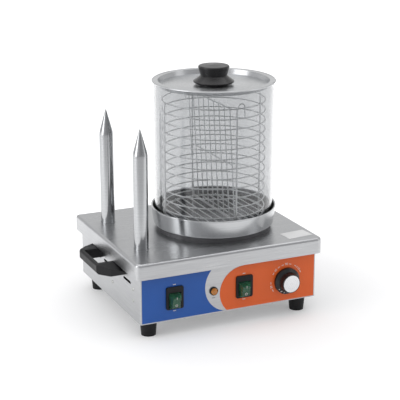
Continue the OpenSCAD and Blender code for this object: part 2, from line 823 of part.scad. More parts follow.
// The lid knob stands on a foot, and its skirt sweeps up to the waist
knob_edge = 2.6;
knob_rim = 1.2;
foot_reach = 1;
lid_foot_r = lid_waist_r + foot_reach;
rim_top = lid_foot_h + 2 * knob_rim;
skirt_sweep = lid_skirt_r - lid_waist_r;
waist_share = 0.4;
waist_h = lid_foot_h + (lid_knob_h - lid_foot_h) * waist_share;
sweep_power = 1.15;
sweep_steps = 12;
module lid_knob_half() {
    polygon(concat(
        [[0, 0], [lid_foot_r, 0], [lid_foot_r, lid_foot_h], [lid_skirt_r - knob_rim, lid_foot_h],
            [lid_skirt_r, lid_foot_h + knob_rim], [lid_skirt_r, rim_top]],
        [for (i = [1 : sweep_steps]) let (t = i / sweep_steps)
            [lid_waist_r + skirt_sweep * pow(1 - t, sweep_power), rim_top + (waist_h - rim_top) * t]],
        [[lid_head_r, lid_knob_h - knob_edge - knob_rim]],
        [for (i = [0 : sweep_steps]) let (a = 90 * i / sweep_steps)
            [lid_head_r - knob_edge * (1 - cos(a)), lid_knob_h - knob_edge - knob_rim + knob_edge * sin(a)]],
        [[0, lid_knob_h]]));
}

module lid_knob() {
    color(black) at_steamer(dish_floor) difference() {
        rotate_extrude() lid_knob_half();
        translate([0, 0, -over]) cylinder(r = lid_screw_r + slack / 2, h = lid_screw_in + 2 * over);
    }
}

module lid_washer() {
    color(wire_steel) at_steamer(dish_floor - lid_t - washer_t) difference() {
        cylinder(r = washer_r, h = washer_t);
        translate([0, 0, -over]) cylinder(r = lid_screw_r + slack, h = washer_t + 2 * over);
    }
}

module lid_screw() {
    color(wire_steel) at_steamer(dish_floor - lid_t - washer_t)
        screw(lid_screw_head_r, lid_screw_head_h, lid_screw_r, washer_t + lid_t + lid_screw_in);
}

// Basket

ring_wire_r = ring_wire_d / 2;
rod_r = rod_d / 2;
weld = 0.5;
rod_out = ring_r + ring_wire_r + rod_r - weld;
rod_top_past = 1.5;
ring_top_h = glass_top - pan_floor - ring_top_room;
ring_pitch = (ring_top_h - ring_low_h) / (ring_count - 1);
loop_r = 6;
loop_rise = 2;
loop_drop = 14;
loop_turn = 5.5;

module wire_ring(r, wire) { rotate_extrude() translate([r, 0]) circle(wire); }

// A lifting loop: an upside-down U welded outside the two top rings
module lifting_loop() {
    out = ring_r + 2 * ring_wire_r - weld;
    rotate([0, 0, loop_turn]) translate([0, -out, ring_top_h]) {
        translate([0, 0, loop_rise]) rotate([90, 0, 0]) rotate_extrude(angle = 180)
            translate([loop_r, 0]) circle(ring_wire_r);
        translate([-loop_r, 0, -ring_wire_r]) cylinder(r = ring_wire_r, h = loop_rise + ring_wire_r);
        translate([loop_r, 0, -loop_drop]) cylinder(r = ring_wire_r, h = loop_rise + loop_drop);
    }
}

module basket_rings() {
    color(wire_steel) at_steamer(pan_floor)
        for (i = [0 : ring_count - 1]) translate([0, 0, ring_low_h + i * ring_pitch]) wire_ring(ring_r, ring_wire_r);
}

module basket_rods() {
    color(wire_steel) at_steamer(pan_floor) {
        for (a = [0 : 90 : 270]) rotate([0, 0, a]) translate([rod_out, 0, gap])
            cylinder(r = rod_r, h = ring_top_h + rod_top_past - gap);
        for (a = [0, 180]) rotate([0, 0, a]) lifting_loop();
    }
}

floor_wire_r = floor_wire_d / 2;
floor_ring_gap = 0.2;
floor_ring_r = rod_out - 2 * rod_r - floor_ring_gap;
floor_half = floor((floor_ring_r - floor_wire_r) / floor_pitch);

module basket_floor() {
    color(wire_steel) at_steamer(pan_floor + floor_h) {
        translate([0, 0, -floor_wire_r - rod_r + weld]) wire_ring(floor_ring_r, rod_r);
        for (i = [-floor_half : floor_half]) let (half = sqrt(pow(floor_ring_r, 2) - pow(i * floor_pitch, 2)))
            translate([i * floor_pitch, half, 0]) rotate([90, 0, 0]) cylinder(r = floor_wire_r, h = 2 * half);
    }
}

divider_wire_r = divider_wire_d / 2;
divider_low = floor_h + floor_wire_r + gap + divider_wire_r;
divider_h = (ring_top_h + divider_rise - divider_low) / cos(divider_lean);
divider_half = ring_r - ring_wire_r - divider_wire_r - 4 * gap;

module basket_divider() {
    color(wire_steel) at_steamer(pan_floor + divider_low)
        rotate([0, -divider_lean, 0]) {
            for (h = [0, 1, 2]) translate([0, divider_half, h * divider_h / 2]) rotate([90, 0, 0])
                cylinder(r = divider_wire_r, h = 2 * divider_half);
            for (i = [0 : divider_count - 1])
                translate([0, (2 * i / (divider_count - 1) - 1) * (divider_half - divider_wire_r), 0])
                    cylinder(r = divider_wire_r, h = divider_h);
        }
}

// Switches

switch_hole_slack = 0.25;
switch_lip = 2;
switch_in_w = switch_w - 2 * switch_lip;
switch_in_h = switch_h - 2 * switch_lip;
switch_hole_w = switch_in_w + 2 * switch_hole_slack;
switch_hole_h = switch_in_h + 2 * switch_hole_slack;
switch_corner_r = 3;
rocker_room = 0.4;
pocket_room_h = 0.8;
pocket_depth = 9;
pivot_depth = 3;
pivot_r = 1.5;
pivot_len = 1.3;
rocker_back = 3;
rocker_foot = 4;
cover_t = 1.1;
cover_room = 0.15;
cover_low = 1.9;
rocker_draw = 3.2;

module switch_body(x) {
    color(black) on_panel(x, switch_z) difference() {
        union() {
            translate([0, 0, film_t]) linear_extrude(switch_t - film_t)
                round_rect(switch_w, switch_h, switch_corner_r);
            translate([0, 0, -switch_depth]) linear_extrude(switch_depth + over)
                square([switch_in_w, switch_in_h], center = true);
        }
        translate([0, -rocker_drop, -pocket_depth]) linear_extrude(pocket_depth + switch_t + over)
            square([rocker_w + 2 * rocker_room, rocker_h + 2 * pocket_room_h], center = true);
        translate([-rocker_w / 2 - pivot_len - gap, -rocker_drop, -pivot_depth]) rotate([0, 90, 0])
            cylinder(r = pivot_r + fit, h = rocker_w + 2 * (pivot_len + gap));
    }
}

module switch_body_left() { switch_body(switch_left_x); }
module switch_body_right() { switch_body(switch_right_x); }

// A block whose four sides draw in towards its face, from the foot height up
module drawn_block(w, h, low, foot, high, draw) {
    intersection() {
        translate([0, h, 0]) rotate([90, 0, 0]) linear_extrude(2 * h)
            polygon([[-w / 2, low], [w / 2, low], [w / 2, foot], [w / 2 - draw, high], [draw - w / 2, high],
                [-w / 2, foot]]);
        translate([-w, 0, 0]) rotate([90, 0, 90]) linear_extrude(2 * w)
            polygon([[-h / 2, low], [h / 2, low], [h / 2, foot], [h / 2 - draw, high], [draw - h / 2, high],
                [-h / 2, foot]]);
    }
}

// Puts a piece of a rocker at its pivot, tilted as it rests
module at_rocker(x) {
    on_panel(x, switch_z - rocker_drop) translate([0, 0, -pivot_depth]) rotate([rocker_tilt, 0, 0]) children();
}

rocker_high = rocker_out + pivot_depth;
inner_w = rocker_w - 2 * cover_t - 2 * cover_room;
inner_h = rocker_h - 2 * cover_t - 2 * cover_room;

module rocker(x) {
    color("#1F5B45") at_rocker(x) {
        drawn_block(inner_w, inner_h, -rocker_back, rocker_foot, rocker_high - cover_t - cover_room, rocker_draw);
        translate([-rocker_w / 2 - pivot_len, 0, 0]) rotate([0, 90, 0])
            cylinder(r = pivot_r, h = rocker_w + 2 * pivot_len);
    }
}

module rocker_left() { rocker(switch_left_x); }
module rocker_right() { rocker(switch_right_x); }

module splash_cover(x) {
    color("#7FA89A", 0.5) at_rocker(x) difference() {
        drawn_block(rocker_w, rocker_h, cover_low, rocker_foot, rocker_high, rocker_draw);
        drawn_block(rocker_w - 2 * cover_t, rocker_h - 2 * cover_t, cover_low - over, rocker_foot,
            rocker_high - cover_t, rocker_draw);
    }
}

module splash_cover_left() { splash_cover(switch_left_x); }
module splash_cover_right() { splash_cover(switch_right_x); }

// Pilot lamp

lamp_tube_r = 5.5;
lens_stem_r = 4.7;
lens_r = 5.7;
lamp_rim_h = 2.2;
lamp_depth = 25;
lens_depth = 6;
lens_edge_h = 1.2;
lens_dome_h = 2.1;
lamp_nut_r = 8;
lamp_nut_h = 3;

module lamp_bezel() {
    color(black) on_panel(lamp_x, switch_z) difference() {
        union() {
            cylinder(r = lamp_rim_r, h = lamp_rim_h);
            translate([0, 0, -lamp_depth]) cylinder(r = lamp_tube_r, h = lamp_depth + over);
        }
        translate([0, 0, -lens_depth]) cylinder(r = lens_stem_r + fit, h = lens_depth + lamp_rim_h + over);
    }
}

module lamp_lens() {
    dome_r = (pow(lens_r, 2) + pow(lens_dome_h, 2)) / (2 * lens_dome_h);
    color("#B8752F") on_panel(lamp_x, switch_z) {
        translate([0, 0, fit - lens_depth]) cylinder(r = lens_stem_r, h = lens_depth + lamp_rim_h);
        translate([0, 0, lamp_rim_h + fit]) cylinder(r = lens_r, h = lens_edge_h);
        intersection() {
            translate([0, 0, lamp_rim_h + fit + lens_edge_h + lens_dome_h - dome_r]) sphere(dome_r);
            translate([0, 0, lamp_rim_h + fit]) cylinder(r = lens_r, h = dome_r);
        }
    }
}

module lamp_nut() {
    color(wire_steel) on_panel(lamp_x, switch_z) translate([0, 0, -case_t - lamp_nut_h])
        hex(lamp_nut_r, lamp_nut_h, lamp_tube_r + slack / 2);
}

// Thermostat and knob

stat_w = 36;
stat_h = 30;
stat_d = 26;
nose_r = 5;
nose_out = 2;
stat_screw_x = 14;
stat_screw_r = 1.9;
stat_head_r = 3.5;
stat_head_h = 2;
stat_screw_in = 8;
shaft_in = 17;
shaft_out = 14.5;
knob_gap = 1;
knob_skirt_h = 4;
knob_slope_h = 4;
knob_hollow_h = 3.2;
knob_wall = 2.2;
cap_h = 1.6;
knob_draw = 1;

module thermostat_body() {
    color("#8B8D90") on_panel(knob_x, knob_z) difference() {
        union() {
            translate([-stat_w / 2, -stat_h / 2, -case_t - stat_d]) cube([stat_w, stat_h, stat_d]);
            translate([0, 0, -case_t - over]) cylinder(r = nose_r, h = case_t + over + nose_out);
        }
        translate([0, 0, -shaft_in - gap]) cylinder(r = shaft_r + fit, h = shaft_in + nose_out + gap + over);
        for (s = [-1, 1]) translate([s * stat_screw_x, 0, -case_t - stat_screw_in])
            cylinder(r = stat_screw_r + slack / 2, h = stat_screw_in + over);
    }
}

module thermostat_screws() {
    color(wire_steel) on_panel(knob_x, knob_z) for (s = [-1, 1])
        translate([s * stat_screw_x, 0, film_t]) rotate([180, 0, 0])
            screw(stat_head_r, stat_head_h, stat_screw_r, film_t + case_t + stat_screw_in - gap);
}

module thermostat_shaft() {
    color(wire_steel) on_panel(knob_x, knob_z) translate([0, 0, -shaft_in]) cylinder(r = shaft_r, h = shaft_in + shaft_out);
}

module thermostat_knob() {
    color(black) on_panel(knob_x, knob_z) difference() {
        rotate_extrude() polygon([[0, knob_gap], [knob_r, knob_gap], [knob_r, knob_gap + knob_skirt_h],
            [knob_grip_r, knob_gap + knob_skirt_h + knob_slope_h], [knob_grip_r - knob_draw, knob_out - cap_h / 2],
            [0, knob_out - cap_h / 2]]);
        translate([0, 0, knob_out - cap_h]) cylinder(r = knob_cap_r + fit, h = cap_h + over);
        rotate_extrude() translate([nose_r + over, knob_gap - over])
            square([knob_r - knob_wall - nose_r - over, knob_hollow_h + over]);
        translate([0, 0, knob_gap - over]) cylinder(r = nose_r + over, h = nose_out + over);
        cylinder(r = shaft_r + fit, h = shaft_out + gap);
    }
}

module knob_cap() {
    color("#CDCFD1") on_panel(knob_x, knob_z) translate([0, 0, knob_out - cap_h + fit])
        cylinder(r = knob_cap_r, h = cap_h - fit);
}

bulb_r = 3;
bulb_len = 60;
bulb_behind = 37;
bulb_x = steamer_x - bulb_len / 12;
bulb_y = steamer_y + bulb_behind;
bulb_z = under_deck - gap - bulb_r;
clip_w = 12;
clip_len = 10;
clip_t = 1.2;
tube_r = 0.8;
wire_bend = 4;

module thermostat_bulb() {
    color("#B07A4A") translate([bulb_x, bulb_y, bulb_z]) rotate([0, 90, 0]) cylinder(r = bulb_r, h = bulb_len);
}

module bulb_clip() {
    color(wire_steel) translate([bulb_x + bulb_len / 2, bulb_y, under_deck]) difference() {
        translate([-clip_len / 2, -clip_w / 2, -2 * bulb_r - 2 * gap - clip_t])
            cube([clip_len, clip_w, 2 * bulb_r + 2 * gap + clip_t]);
        translate([-clip_len / 2 - over, 0, bulb_z - under_deck]) rotate([0, 90, 0])
            cylinder(r = bulb_r + fit, h = clip_len + 2 * over);
    }
}

// A round run through a list of points, each leg along X, Y or Z, with a quarter bend at every turn
module run(points, r, bend) {
    last = len(points) - 1;
    for (i = [0 : last - 1]) {
        leg = points[i + 1] - points[i];
        d = leg / norm(leg);
        from = points[i] + (i > 0 ? bend : 0) * d;
        to = points[i + 1] - (i < last - 1 ? bend : 0) * d;
        translate(from) rotate([0, atan2(norm([d.x, d.y]), d.z), atan2(d.y, d.x)]) cylinder(r = r, h = norm(to - from));
        if (i > 0) {
            before = points[i] - points[i - 1];
            e = before / norm(before);
            n = cross(e, d);
            c = points[i] - bend * e + bend * d;
            multmatrix([[-d.x, e.x, n.x, c.x], [-d.y, e.y, n.y, c.y], [-d.z, e.z, n.z, c.z], [0, 0, 0, 1]])
                rotate_extrude(angle = 90) translate([bend, 0]) circle(r);
        }
    }
}

stat_back = -wall_y + case_t + stat_d + gap;
tube_in = 33;
tube_turn_in = 47.5;
tube_up = 7;
tube_side = 12;
tube_x = wall_x - tube_in;
tube_turn_y = -wall_y + tube_turn_in;
tube_z = knob_z + tube_up;
tube_in_x = knob_x + tube_side;
module capillary_tube() {
    color("#B07A4A") run([[bulb_x + bulb_len + gap, bulb_y, bulb_z], [tube_x, bulb_y, bulb_z],
        [tube_x, tube_turn_y, bulb_z], [tube_x, tube_turn_y, tube_z], [tube_in_x, tube_turn_y, tube_z],
        [tube_in_x, stat_back, tube_z]], tube_r, wire_bend);
}

// Terminal block, gland and wires

block_top = case_z + block_h;
block_hole_r = 2;
block_poles = 5;

module terminal_block() {
    color("#E8E4DA") translate([block_x, block_y, case_z]) difference() {
        translate([-block_w / 2, -block_d / 2, 0]) cube([block_w, block_d, block_h]);
        for (i = [0 : block_poles]) translate([(i / block_poles - 1 / 2) * (block_w - block_d / 2), 0, block_h])
            rotate([90, 0, 0]) cylinder(r = block_hole_r, h = block_d / 3, center = true);
    }
}

gland_body_r = 8;
gland_hex_r = 12.5;
gland_hex_h = 5;
gland_cap_r = 10.5;
gland_cap_low_r = 8.5;
gland_cap_h = 14.8;
gland_in = 12.5;

module cable_gland() {
    color(black) translate([gland_x, wall_y, gland_z]) rotate([-90, 0, 0]) difference() {
        union() {
            cylinder(r = gland_hex_r, h = gland_hex_h, $fn = 6);
            translate([0, 0, gland_hex_h]) cylinder(r1 = gland_cap_r, r2 = gland_cap_low_r, h = gland_cap_h);
            translate([0, 0, -gland_in]) cylinder(r = gland_body_r, h = gland_in + over);
        }
        translate([0, 0, -gland_in - over]) cylinder(r = gland_bore_r, h = gland_in + gland_hex_h + gland_cap_h + 2 * over);
    }
}

module gland_nut() {
    color(black) translate([gland_x, wall_y - case_t - gland_hex_h, gland_z]) rotate([-90, 0, 0])
        hex(gland_hex_r, gland_hex_h, gland_body_r + slack / 2);
}

switch_back = -wall_y + switch_depth + gap;
lamp_back = -wall_y + lamp_depth + gap;
block_wire_z = block_top + gap;
element_wire_z = element_low - element_tip_h - gap;
element_wire_y = steamer_y + element_leg_y;
element_wire_dx = element_r * element_leg_share;
wire_step = 6;
mid_z = switch_z;
low_z = mid_z - wire_step;
rear_wire_z = mid_z + wire_step;
front_wire_z = rear_wire_z + wire_step;
high_z = front_wire_z + wire_step;
right_wire_y = block_y + wire_step;
right_wire_x = block_x + block_w / 3;
mid_wire_x = block_x + block_w / 6;
rear_wire_x = block_x - block_w / 6;
front_wire_x = block_x - block_w / 3;
stat_wire_dx = 6;
lamp_wire_dx = 9;
lamp_wire_y = lamp_back + 2.5 * wire_step;

module wiring() {
    color("#D9D3C4") {
        // left switch to the block
        run([[switch_left_x, switch_back, mid_z], [switch_left_x, block_y, mid_z],
            [switch_left_x, block_y, block_wire_z]], wire_r, wire_bend);
        // right switch to the block
        run([[switch_right_x, switch_back, low_z], [switch_right_x, right_wire_y, low_z],
            [right_wire_x, right_wire_y, low_z], [right_wire_x, right_wire_y, block_wire_z]], wire_r, wire_bend);
        // thermostat to the element
        run([[knob_x + stat_wire_dx, stat_back, knob_z], [knob_x + stat_wire_dx, element_wire_y, knob_z],
            [steamer_x + element_wire_dx, element_wire_y, knob_z],
            [steamer_x + element_wire_dx, element_wire_y, element_wire_z]], wire_r, wire_bend);
        // block to the element
        run([[mid_wire_x, element_wire_y, block_wire_z], [mid_wire_x, element_wire_y, high_z],
            [steamer_x - element_wire_dx, element_wire_y, high_z],
            [steamer_x - element_wire_dx, element_wire_y, element_wire_z]], wire_r, wire_bend);
        // spikes to the block
        run([[spike_x, spike_rear_y, lead_low - gap], [spike_x, spike_rear_y, rear_wire_z],
            [rear_wire_x, spike_rear_y, rear_wire_z], [rear_wire_x, block_y, rear_wire_z],
            [rear_wire_x, block_y, block_wire_z]], wire_r, wire_bend);
        run([[spike_x, spike_front_y, lead_low - gap], [spike_x, spike_front_y, front_wire_z],
            [front_wire_x, spike_front_y, front_wire_z], [front_wire_x, block_y, front_wire_z],
            [front_wire_x, block_y, block_wire_z]], wire_r, wire_bend);
        // pilot lamp to the left switch
        run([[lamp_x, lamp_back, mid_z], [lamp_x, lamp_wire_y, mid_z],
            [switch_left_x + lamp_wire_dx, lamp_wire_y, mid_z],
            [switch_left_x + lamp_wire_dx, switch_back, mid_z]], wire_r, wire_bend);
    }
}

deck_tray();
housing();
bottom_cover();
blue_film();
orange_film();
label_plate();
foot_front_left();
foot_front_right();
foot_rear_left();
foot_rear_right();
foot_screws();
foot_nuts();
cover_screws();
side_rivets();
handle_left();
handle_right();
handle_screws();
hot_plate();
heating_element();
plate_stud();
clamp_bridge();
clamp_nut();
water_pan();
spike_rear();
spike_front();
spike_heater_rear();
spike_heater_front();
spike_nuts();
glass_cylinder();
lid();
lid_knob();
lid_screw();
lid_washer();
basket_rings();
basket_rods();
basket_floor();
basket_divider();
switch_body_left();
switch_body_right();
rocker_left();
rocker_right();
splash_cover_left();
splash_cover_right();
lamp_bezel();
lamp_lens();
lamp_nut();
thermostat_body();
thermostat_screws();
thermostat_shaft();
thermostat_knob();
knob_cap();
thermostat_bulb();
bulb_clip();
capillary_tube();
terminal_block();
cable_gland();
gland_nut();
wiring();
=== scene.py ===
# Studio picture of a table-top hot dog warmer: a steamer glass and two heated bun spikes on a steel case.
# The solids come from the frame. This script gives them their materials, adds the printed marks and the
# weld beads of the basket, and sets up the light and the camera.
import math

import bmesh
import bpy
from mathutils import Matrix, Vector
from mathutils.bvhtree import BVHTree


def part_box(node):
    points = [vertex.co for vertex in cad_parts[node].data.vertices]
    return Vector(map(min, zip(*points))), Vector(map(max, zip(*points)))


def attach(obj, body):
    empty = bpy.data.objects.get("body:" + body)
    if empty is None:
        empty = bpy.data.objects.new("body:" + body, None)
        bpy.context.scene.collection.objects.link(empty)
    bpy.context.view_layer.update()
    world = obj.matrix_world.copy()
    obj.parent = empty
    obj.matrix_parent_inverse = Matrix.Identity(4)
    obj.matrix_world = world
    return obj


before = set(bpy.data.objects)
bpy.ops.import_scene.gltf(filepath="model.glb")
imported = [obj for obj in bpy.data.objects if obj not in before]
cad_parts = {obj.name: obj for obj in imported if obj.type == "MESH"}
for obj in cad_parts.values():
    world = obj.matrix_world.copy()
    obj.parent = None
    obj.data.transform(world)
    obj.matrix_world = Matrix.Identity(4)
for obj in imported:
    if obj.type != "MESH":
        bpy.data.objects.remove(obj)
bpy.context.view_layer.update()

mm = 0.001
scene = bpy.context.scene
noiseBand = {"From Min": 0.35, "From Max": 0.65}    # where most values of a noise texture lie
wiped = {"To Min": -0.015, "To Max": 0.025}         # what a wiped patch adds to the roughness of bright steel


# Small helpers

def linear(hexCode):
    parts = [int(hexCode[i:i + 2], 16) / 255 for i in (1, 3, 5)]
    return [c / 12.92 if c <= 0.04045 else ((c + 0.055) / 1.055) ** 2.4 for c in parts] + [1.0]


def plug(tree, target, inputs):
    for key, value in inputs.items():
        if isinstance(value, bpy.types.NodeSocket):
            tree.links.new(value, target.inputs[key])
        else:
            target.inputs[key].default_value = value
    return target


def addNode(tree, kind, inputs=None, **settings):
    made = tree.nodes.new(kind)
    for name, value in settings.items():
        setattr(made, name, value)
    return plug(tree, made, inputs or {})


def startMaterial(name):
    material = bpy.data.materials.new(name)
    material.use_nodes = True
    tree = material.node_tree
    place = addNode(tree, "ShaderNodeTexCoord").outputs["Object"]
    return material, tree, tree.nodes["Principled BSDF"], place


# Sheet steel: stainless sheet, belt-brushed from left to right, so it pulls each reflection out across the
# lines and looks pale and even from a step away.

sheetSteel = {
    "colour": "#C4C5C6", "lineColour": "#B6B7B9",
    "lineWidth": 1.4 * mm, "lineLength": 55 * mm,   # grit 240 lines are finer: drawn this wide to show at all
    "lineDepth": 0.004 * mm,
    "roughness": (0.20, 0.27), "anisotropy": 0.55,
    "wipesPerMetre": 11.0,      # wiped patches of some 90 mm
    "squareOn": 0.7,            # part of the normal along an axis that makes a face count as turned that way
}


def makeSheetSteel(name, look):
    material, tree, shader, place = startMaterial(name)
    facing = addNode(tree, "ShaderNodeNewGeometry").outputs["Normal"]
    at = addNode(tree, "ShaderNodeSeparateXYZ", {0: place}).outputs
    normal = addNode(tree, "ShaderNodeSeparateXYZ", {0: facing}).outputs
    # The lines run along X on the top, front and back, and along Y on the two sides
    sideways = addNode(tree, "ShaderNodeMath", {0: normal[0]}, operation="ABSOLUTE").outputs[0]
    onSide = addNode(tree, "ShaderNodeMath", {0: sideways, 1: look["squareOn"]},
                     operation="GREATER_THAN").outputs[0]
    upward = addNode(tree, "ShaderNodeMath", {0: normal[2]}, operation="ABSOLUTE").outputs[0]
    onTop = addNode(tree, "ShaderNodeMath", {0: upward, 1: look["squareOn"]},
                    operation="GREATER_THAN").outputs[0]
    along = addNode(tree, "ShaderNodeMix", {"Factor": onSide, 2: at[0], 3: at[1]}).outputs[0]
    across = addNode(tree, "ShaderNodeMix", {"Factor": onTop, 2: at[2], 3: at[1]}).outputs[0]
    flat = addNode(tree, "ShaderNodeCombineXYZ", {0: along, 1: across}).outputs[0]
    scaled = addNode(tree, "ShaderNodeVectorMath",
                     {0: flat, 1: (1 / look["lineLength"], 1 / look["lineWidth"], 1)}, operation="MULTIPLY")
    lines = addNode(tree, "ShaderNodeTexNoise", {"Vector": scaled.outputs[0], "Scale": 1.0, "Detail": 4.0,
                                                 "Roughness": 0.6}).outputs[0]
    smudge = addNode(tree, "ShaderNodeTexNoise", {"Vector": place, "Scale": look["wipesPerMetre"],
                                                  "Detail": 3.0}).outputs[0]
    share = addNode(tree, "ShaderNodeMapRange", {"Value": lines, **noiseBand}).outputs[0]
    tint = addNode(tree, "ShaderNodeMix", {"Factor": share, 6: linear(look["colour"]),
                                           7: linear(look["lineColour"])}, data_type="RGBA").outputs[2]
    low, high = look["roughness"]
    rough = addNode(tree, "ShaderNodeMapRange", {"Value": lines, **noiseBand, "To Min": low,
                                                 "To Max": high}).outputs[0]
    shift = addNode(tree, "ShaderNodeMapRange", {"Value": smudge, **noiseBand, **wiped}).outputs[0]
    total = addNode(tree, "ShaderNodeMath", {0: rough, 1: shift}, operation="ADD").outputs[0]
    grain = addNode(tree, "ShaderNodeMix", {"Factor": onSide, 4: (1, 0, 0), 5: (0, 1, 0)},
                    data_type="VECTOR").outputs[1]
    spread = addNode(tree, "ShaderNodeVectorMath", {0: facing, 1: grain},
                     operation="CROSS_PRODUCT").outputs[0]
    dents = addNode(tree, "ShaderNodeBump", {"Height": lines, "Distance": look["lineDepth"]}).outputs[0]
    plug(tree, shader, {"Base Color": tint, "Metallic": 1.0, "Roughness": total, "Tangent": spread,
                        "Anisotropic": look["anisotropy"], "Normal": dents})
    return material


# Turned and spun steel: polished stainless with fine rings round its axis, so a lamp shows as a tall band.

turnedSteel = {
    "colour": "#CBCCCD", "ringColour": "#B9BBBD",
    "ringWidth": 1.1 * mm,      # tool marks of about 0.2 mm, drawn this wide to show at all
    "ringDepth": 0.003 * mm,
    "roughness": (0.15, 0.22), "anisotropy": 0.7,
    "wipesPerMetre": 25.0,      # wiped patches of some 40 mm
}


def makeTurnedSteel(name, look, centre, axis=(0, 0, 1)):
    material, tree, shader, place = startMaterial(name)
    facing = addNode(tree, "ShaderNodeNewGeometry").outputs["Normal"]
    moved = addNode(tree, "ShaderNodeVectorMath", {0: place, 1: centre}, operation="SUBTRACT").outputs[0]
    height = addNode(tree, "ShaderNodeVectorMath", {0: moved, 1: axis}, operation="DOT_PRODUCT")
    circling = addNode(tree, "ShaderNodeVectorMath", {0: axis, 1: moved},
                       operation="CROSS_PRODUCT").outputs[0]
    radius = addNode(tree, "ShaderNodeVectorMath", {0: circling}, operation="LENGTH")
    ring = addNode(tree, "ShaderNodeMath", {0: radius.outputs["Value"], 1: height.outputs["Value"]},
                   operation="ADD").outputs[0]
    lines = addNode(tree, "ShaderNodeTexNoise", {"W": ring, "Scale": 1 / look["ringWidth"], "Detail": 3.0,
                                                 "Roughness": 0.7}, noise_dimensions="1D").outputs[0]
    smudge = addNode(tree, "ShaderNodeTexNoise", {"Vector": place, "Scale": look["wipesPerMetre"],
                                                  "Detail": 2.0}).outputs[0]
    share = addNode(tree, "ShaderNodeMapRange", {"Value": lines, **noiseBand}).outputs[0]
    tint = addNode(tree, "ShaderNodeMix", {"Factor": share, 6: linear(look["colour"]),
                                           7: linear(look["ringColour"])}, data_type="RGBA").outputs[2]
    low, high = look["roughness"]
    rough = addNode(tree, "ShaderNodeMapRange", {"Value": lines, **noiseBand, "To Min": low,
                                                 "To Max": high}).outputs[0]
    shift = addNode(tree, "ShaderNodeMapRange", {"Value": smudge, **noiseBand, **wiped}).outputs[0]
    total = addNode(tree, "ShaderNodeMath", {0: rough, 1: shift}, operation="ADD").outputs[0]
    spread = addNode(tree, "ShaderNodeVectorMath", {0: facing, 1: circling},
                     operation="CROSS_PRODUCT").outputs[0]
    grooves = addNode(tree, "ShaderNodeBump", {"Height": lines, "Distance": look["ringDepth"]}).outputs[0]
    plug(tree, shader, {"Base Color": tint, "Metallic": 1.0, "Roughness": total, "Tangent": spread,
                        "Anisotropic": look["anisotropy"], "Normal": grooves})
    return material


# Drawn, plated and cast metal: a fine spotted skin with cloudy wear, and burnt patches where it has a stain.

cloudsPerMetre = 60.0       # cloudy wear in patches of some 17 mm


def makeSmallMetal(name, look):
    material, tree, shader, place = startMaterial(name)
    spots = addNode(tree, "ShaderNodeTexNoise", {"Vector": place, "Scale": 1 / look["spotSize"],
                                                 "Detail": 4.0}).outputs[0]
    cloud = addNode(tree, "ShaderNodeTexNoise", {"Vector": place, "Scale": cloudsPerMetre,
                                                 "Detail": 2.0}).outputs[0]
    share = addNode(tree, "ShaderNodeMapRange", {"Value": spots, **noiseBand}).outputs[0]
    tint = addNode(tree, "ShaderNodeMix", {"Factor": share, 6: linear(look["colour"]),
                                           7: linear(look["spotColour"])}, data_type="RGBA").outputs[2]
    if "stain" in look:
        patch = addNode(tree, "ShaderNodeMapRange", {"Value": cloud, "From Min": 0.5, "From Max": 0.75,
                                                     "To Max": 0.6}).outputs[0]
        tint = addNode(tree, "ShaderNodeMix", {"Factor": patch, 6: tint, 7: linear(look["stain"])},
                       data_type="RGBA").outputs[2]
    low, high = look["roughness"]
    rough = addNode(tree, "ShaderNodeMapRange", {"Value": cloud, **noiseBand, "To Min": low,
                                                 "To Max": high}).outputs[0]
    pits = addNode(tree, "ShaderNodeBump", {"Height": spots, "Distance": look["spotDepth"]}).outputs[0]
    plug(tree, shader, {"Base Color": tint, "Metallic": 1.0, "Roughness": rough, "Normal": pits})
    return material


# Moulded plastic and rubber: a spark-eroded grain from the mould, with paler rubbed patches.

moulding = {
    "grainSize": 0.5 * mm, "grainDepth": 0.006 * mm,    # the real grain is finer: this coarse to show at all
    "rubsPerMetre": 45.0,       # rubbed patches of some 22 mm
    "coat": 0.0, "seeThrough": 0.0, "glow": 0.0, "gloss": 0.5,
}


def makeMoulded(name, look):
    look = {**moulding, **look}
    material, tree, shader, place = startMaterial(name)
    grain = addNode(tree, "ShaderNodeTexNoise", {"Vector": place, "Scale": 1 / look["grainSize"],
                                                 "Detail": 3.0}).outputs[0]
    rub = addNode(tree, "ShaderNodeTexNoise", {"Vector": place, "Scale": look["rubsPerMetre"],
                                               "Detail": 5.0, "Roughness": 0.6}).outputs[0]
    share = addNode(tree, "ShaderNodeMapRange", {"Value": rub, "From Min": 0.4, "From Max": 0.75}).outputs[0]
    tint = addNode(tree, "ShaderNodeMix", {"Factor": share, 6: linear(look["colour"]),
                                           7: linear(look["rubbedColour"])}, data_type="RGBA").outputs[2]
    low, high = look["roughness"]
    rough = addNode(tree, "ShaderNodeMapRange", {"Value": rub, **noiseBand, "To Min": low,
                                                 "To Max": high}).outputs[0]
    skin = addNode(tree, "ShaderNodeBump", {"Height": grain, "Distance": look["grainDepth"]}).outputs[0]
    plug(tree, shader, {"Base Color": tint, "Roughness": rough, "IOR": 1.5, "Normal": skin,
                        "Specular IOR Level": look["gloss"],
                        "Coat Weight": look["coat"], "Coat Roughness": 0.08,
                        "Transmission Weight": look["seeThrough"],
                        "Subsurface Weight": look["glow"], "Subsurface Scale": 2 * mm})
    return material


# Screen-printed polyester film: even colour with a satin face, and a slight waviness where it is stuck down.

filmSkin = {
    "wavesPerMetre": 28.0, "waveDepth": 0.05 * mm,      # slow waves of some 36 mm
    "grainsPerMetre": 900.0, "grainDepth": 0.003 * mm,  # the print's own skin, about 1 mm
    "roughness": (0.34, 0.44),
}


